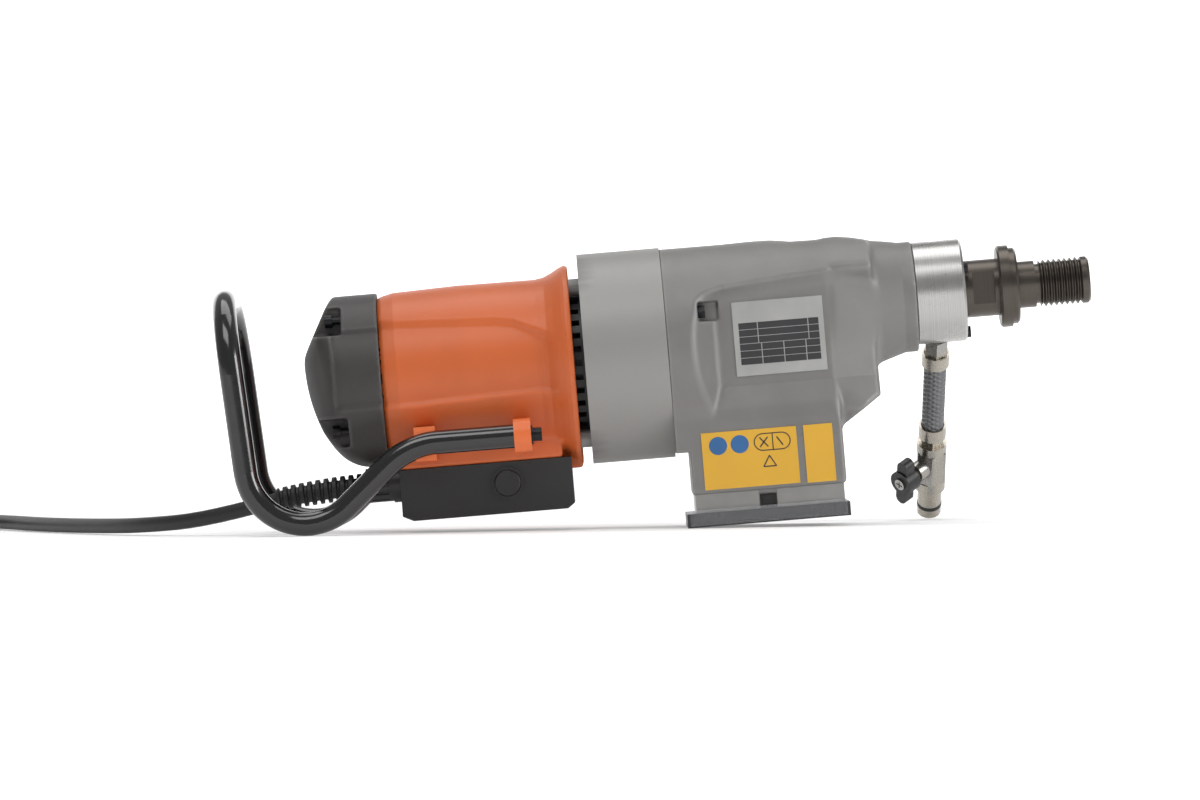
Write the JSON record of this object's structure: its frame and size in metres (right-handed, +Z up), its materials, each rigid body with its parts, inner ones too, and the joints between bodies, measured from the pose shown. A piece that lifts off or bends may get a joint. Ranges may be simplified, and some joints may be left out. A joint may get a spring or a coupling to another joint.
{
  "type": "core drill motor",
  "caption": "Hand- or stand-mounted core drill motor with rear loop handle, gearbox, mounting plate, water swivel collar with tap, threaded spindle and mains cord.",
  "frame": {"origin": "centre of the base of the box around the drill without its cord, on the surface it lies on", "axes": "+Z up; +X forward towards the spindle, which is tilted 3.7 degrees nose up at rest; +Y to the far side, away from the rating plate"},
  "size_m": [1.0481, 0.5648, 0.1951],
  "materials": {
    "orange_plastic": "moulded orange plastic, fine grain",
    "dark_plastic": "moulded dark grey plastic, fine grain",
    "black_plastic": "black plastic",
    "cast_aluminium": "bead-blasted casting",
    "machined_aluminium": "milled",
    "dark_aluminium": "dark anodised",
    "clear_plastic": "clear polycarbonate",
    "lens": "green lens",
    "black_steel": "gloss black paint",
    "zinc_steel": "zinc plated",
    "black_oxide_steel": "black oxide",
    "spindle_steel": "turned dark steel",
    "gear_steel": "ground steel",
    "iron_core": "stacked sheets",
    "copper": "copper segments",
    "plated_brass": "nickel plated",
    "braid": "woven steel and nylon braid",
    "black_rubber": "black rubber",
    "plate_print": "printed foil",
    "label_print": "printed vinyl"
  },
  "bodies": {
    "drill_frame": {"bearings": "gear_steel", "braided_hose": "braid", "brush_holders": "black_plastic", "button_bezel": "black_plastic", "cable_gland": "black_plastic", "case_bolts": "black_oxide_steel", "coil_tie": "black_plastic", "collar_screws": "black_oxide_steel", "cord_coil": "black_rubber", "cord_run": "black_rubber", "cord_tail": "black_rubber", "cover_screws": "zinc_steel", "electronics_box": "dark_plastic", "foot_strip": "machined_aluminium", "gearbox_flange": "cast_aluminium", "gearbox_ring": "cast_aluminium", "gearcase": "cast_aluminium", "guard_clip": "black_plastic", "handle_bolts": "zinc_steel", "handle_brackets": "orange_plastic", "handle_clamps": "orange_plastic", "handle_tube": "black_steel", "lower_ferrule": "plated_brass", "motor_housing": "orange_plastic", "mounting_plate": "dark_aluminium", "nipple": "plated_brass", "nipple_o_ring": "black_rubber", "plate_guard": "clear_plastic", "plug_blades": "plated_brass", "power_plug": "black_rubber", "rating_plate": "plate_print", "rear_cover": "dark_plastic", "safety_labels": "label_print", "shaft_seals": "black_rubber", "stator": "iron_core", "status_lens": "lens", "strain_relief": "black_rubber", "upper_ferrule": "plated_brass", "valve_body": "plated_brass", "vent_grille": "black_plastic", "water_collar": "machined_aluminium"},
    "motor_shaft": {"rotor_shaft": "gear_steel", "rotor_core": "iron_core", "commutator": "copper", "cooling_fan": "black_plastic"},
    "layshaft": {"countershaft": "gear_steel", "countershaft_wheel": "gear_steel"},
    "output_spindle": {"spindle": "spindle_steel", "low_wheel": "gear_steel"},
    "idle_middle_wheel": {"middle_wheel": "gear_steel"},
    "idle_high_wheel": {"high_wheel": "gear_steel"},
    "sliding_dog": {"dog_ring": "gear_steel"},
    "fork": {"shift_fork": "gear_steel"},
    "selector": {"gear_selector": "black_plastic"},
    "start_button": {"soft_start_button": "black_plastic"},
    "rocker": {"power_switch": "black_plastic"},
    "water_tap": {"valve_ball": "plated_brass", "valve_knob": "black_plastic", "knob_screw": "zinc_steel"}
  },
  "joints": [
    {"name": "motor_spin", "type": "hinge", "parent": "drill_frame", "child": "motor_shaft", "pos_m": [-0.13354, -0.02712, 0.10717], "axis": [0.9979, 0, 0.0652], "continuous": true},
    {"name": "layshaft_spin", "type": "hinge", "parent": "drill_frame", "child": "layshaft", "pos_m": [0.01627, -0.00019, 0.11496], "axis": [0.9979, 0, 0.0652], "continuous": true},
    {"name": "spindle_spin", "type": "hinge", "parent": "drill_frame", "child": "output_spindle", "pos_m": [0.2438, -0.02712, 0.16028], "axis": [0.9979, 0, 0.0652], "continuous": true},
    {"name": "middle_wheel_spin", "type": "hinge", "parent": "drill_frame", "child": "idle_middle_wheel", "pos_m": [0.03923, -0.02712, 0.14692], "axis": [0.9979, 0, 0.0652], "continuous": true},
    {"name": "high_wheel_spin", "type": "hinge", "parent": "drill_frame", "child": "idle_high_wheel", "pos_m": [0.01528, -0.02712, 0.14535], "axis": [0.9979, 0, 0.0652], "continuous": true},
    {"name": "selector_turn", "type": "hinge", "parent": "drill_frame", "child": "selector", "pos_m": [0.05028, 0.02288, 0.1312], "axis": [0, 1, 0], "range_deg": [-30, 30]},
    {"name": "fork_slide", "type": "slide", "parent": "drill_frame", "child": "fork", "axis": [0.9979, 0, 0.0652], "range_m": [-0.0035, 0.0035]},
    {"name": "dog_slide", "type": "slide", "parent": "output_spindle", "child": "sliding_dog", "axis": [0.9979, 0, 0.0652], "range_m": [-0.0035, 0.0035]},
    {"name": "button_press", "type": "slide", "parent": "drill_frame", "child": "start_button", "axis": [0, 1, 0], "range_m": [0, 0.0015], "stiffness_N_per_m": 600, "springref_m": -0.001},
    {"name": "rocker_tip", "type": "hinge", "parent": "drill_frame", "child": "rocker", "pos_m": [-0.13638, 0.00838, 0.02781], "axis": [-0.0652, 0, 0.9979], "range_deg": [-12, 0]},
    {"name": "tap_turn", "type": "hinge", "parent": "drill_frame", "child": "water_tap", "pos_m": [0.19232, 0.073, 0.04006], "axis": [-0.6955, -0.5519, -0.46], "range_deg": [0, 90]}
  ],
  "couplings": [
    {"joint": "layshaft_spin", "follows": "motor_spin", "ratio": -0.2},
    {"joint": "spindle_spin", "follows": "motor_spin", "ratio": 0.057143},
    {"joint": "middle_wheel_spin", "follows": "motor_spin", "ratio": 0.1},
    {"joint": "high_wheel_spin", "follows": "motor_spin", "ratio": 0.16},
    {"joint": "fork_slide", "follows": "selector_turn", "m_per_rad": 0.0066778},
    {"joint": "dog_slide", "follows": "selector_turn", "m_per_rad": 0.0066778}
  ]
}
